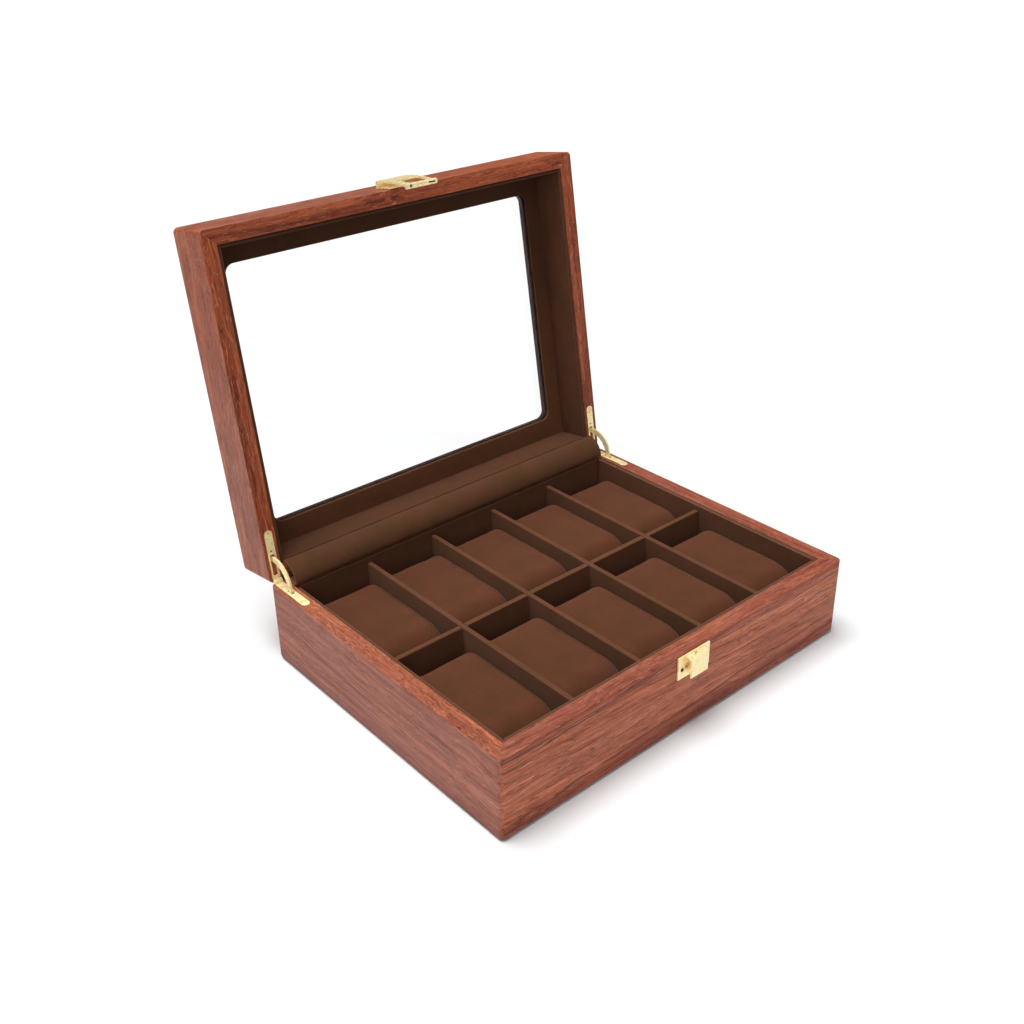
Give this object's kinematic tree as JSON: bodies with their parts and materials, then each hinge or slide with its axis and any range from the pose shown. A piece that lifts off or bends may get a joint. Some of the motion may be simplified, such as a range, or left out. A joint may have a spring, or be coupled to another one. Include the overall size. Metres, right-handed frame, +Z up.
{
  "type": "watch box",
  "caption": "Wooden watch box with a glazed hinged lid, velvet-lined places with lift-out pillows, stop hinges and a front hasp latch.",
  "frame": {"origin": "centre of the box's underside, where the felt sheet rests", "axes": "+Z up, +X to the right along the front, +Y to the back where the lid hinges; at rest the lid stands open"},
  "size_m": [0.26, 0.2658, 0.254],
  "materials": {
    "rosewood": "satin lacquer over long, dark-streaked grain",
    "plywood": "raw",
    "velvet": "short pile, glued over board",
    "pillow_velvet": "short pile over foam",
    "felt": "matt felt",
    "brass": "polished, pale gold plated",
    "glass": "clear, flat"
  },
  "bodies": {
    "base": {"base_back_wall": "rosewood", "base_bottom": "plywood", "base_front_wall": "rosewood", "base_left_wall": "rosewood", "base_right_wall": "rosewood", "catch_nail": "brass", "catch_plate": "brass", "catch_screw": "brass", "divider_cross_1": "velvet", "divider_cross_2": "velvet", "divider_cross_3": "velvet", "divider_cross_4": "velvet", "divider_long": "velvet", "hinge_cloth": "velvet", "hinge_left_base_leaf": "brass", "hinge_left_base_leaf_screw_1": "brass", "hinge_left_base_leaf_screw_2": "brass", "hinge_left_pin": "brass", "hinge_right_base_leaf": "brass", "hinge_right_base_leaf_screw_1": "brass", "hinge_right_base_leaf_screw_2": "brass", "hinge_right_pin": "brass", "lining_back": "velvet", "lining_floor": "velvet", "lining_front": "velvet", "lining_left": "velvet", "lining_right": "velvet", "underside_felt": "felt"},
    "lid": {"hasp_pin": "brass", "hasp_plate": "brass", "hasp_screw_left": "brass", "hasp_screw_right": "brass", "hinge_left_lid_leaf": "brass", "hinge_left_lid_leaf_screw": "brass", "hinge_right_lid_leaf": "brass", "hinge_right_lid_leaf_screw": "brass", "lid_back_wall": "rosewood", "lid_front_wall": "rosewood", "lid_glass": "glass", "lid_inner_board": "velvet", "lid_left_wall": "rosewood", "lid_lining_back": "velvet", "lid_lining_front": "velvet", "lid_lining_left": "velvet", "lid_lining_right": "velvet", "lid_right_wall": "rosewood", "lid_top_frame": "rosewood"},
    "hasp": {"hasp_flap": "brass"},
    "stop_arm_left": {"hinge_left_stop_arm": "brass"},
    "stop_arm_right": {"hinge_right_stop_arm": "brass"},
    "pillow_front_1": {"pillow_front_1": "pillow_velvet"},
    "pillow_front_2": {"pillow_front_2": "pillow_velvet"},
    "pillow_front_3": {"pillow_front_3": "pillow_velvet"},
    "pillow_front_4": {"pillow_front_4": "pillow_velvet"},
    "pillow_front_5": {"pillow_front_5": "pillow_velvet"},
    "pillow_back_1": {"pillow_back_1": "pillow_velvet"},
    "pillow_back_2": {"pillow_back_2": "pillow_velvet"},
    "pillow_back_3": {"pillow_back_3": "pillow_velvet"},
    "pillow_back_4": {"pillow_back_4": "pillow_velvet"},
    "pillow_back_5": {"pillow_back_5": "pillow_velvet"}
  },
  "joints": [
    {"name": "lid_hinge", "type": "hinge", "parent": "base", "child": "lid", "pos_m": [0, 0.1, 0.05], "axis": [-1, 0, 0], "range_deg": [-98.7, 0], "deforming": ["hinge_cloth"]},
    {"name": "hasp_swing", "type": "hinge", "parent": "lid", "child": "hasp", "pos_m": [-0.0002, 0.14207, 0.24893], "axis": [-1, 0, 0], "range_deg": [0, 170]},
    {"name": "stop_arm_left_slide", "type": "hinge", "parent": "base", "child": "stop_arm_left", "pos_m": [-0.12525, 0.1, 0.05], "axis": [-1, 0, 0], "range_deg": [-49.35, 0]},
    {"name": "stop_arm_right_slide", "type": "hinge", "parent": "base", "child": "stop_arm_right", "pos_m": [0.12525, 0.1, 0.05], "axis": [-1, 0, 0], "range_deg": [-49.35, 0]},
    {"name": "pillow_lift_front_1", "type": "slide", "parent": "base", "child": "pillow_front_1", "axis": [0, 0, 1], "range_m": [0, 0.06]},
    {"name": "pillow_lift_front_2", "type": "slide", "parent": "base", "child": "pillow_front_2", "axis": [0, 0, 1], "range_m": [0, 0.06]},
    {"name": "pillow_lift_front_3", "type": "slide", "parent": "base", "child": "pillow_front_3", "axis": [0, 0, 1], "range_m": [0, 0.06]},
    {"name": "pillow_lift_front_4", "type": "slide", "parent": "base", "child": "pillow_front_4", "axis": [0, 0, 1], "range_m": [0, 0.06]},
    {"name": "pillow_lift_front_5", "type": "slide", "parent": "base", "child": "pillow_front_5", "axis": [0, 0, 1], "range_m": [0, 0.06]},
    {"name": "pillow_lift_back_1", "type": "slide", "parent": "base", "child": "pillow_back_1", "axis": [0, 0, 1], "range_m": [0, 0.06]},
    {"name": "pillow_lift_back_2", "type": "slide", "parent": "base", "child": "pillow_back_2", "axis": [0, 0, 1], "range_m": [0, 0.06]},
    {"name": "pillow_lift_back_3", "type": "slide", "parent": "base", "child": "pillow_back_3", "axis": [0, 0, 1], "range_m": [0, 0.06]},
    {"name": "pillow_lift_back_4", "type": "slide", "parent": "base", "child": "pillow_back_4", "axis": [0, 0, 1], "range_m": [0, 0.06]},
    {"name": "pillow_lift_back_5", "type": "slide", "parent": "base", "child": "pillow_back_5", "axis": [0, 0, 1], "range_m": [0, 0.06]}
  ],
  "couplings": [
    {"joint": "stop_arm_left_slide", "follows": "lid_hinge", "ratio": 0.5},
    {"joint": "stop_arm_right_slide", "follows": "lid_hinge", "ratio": 0.5}
  ]
}
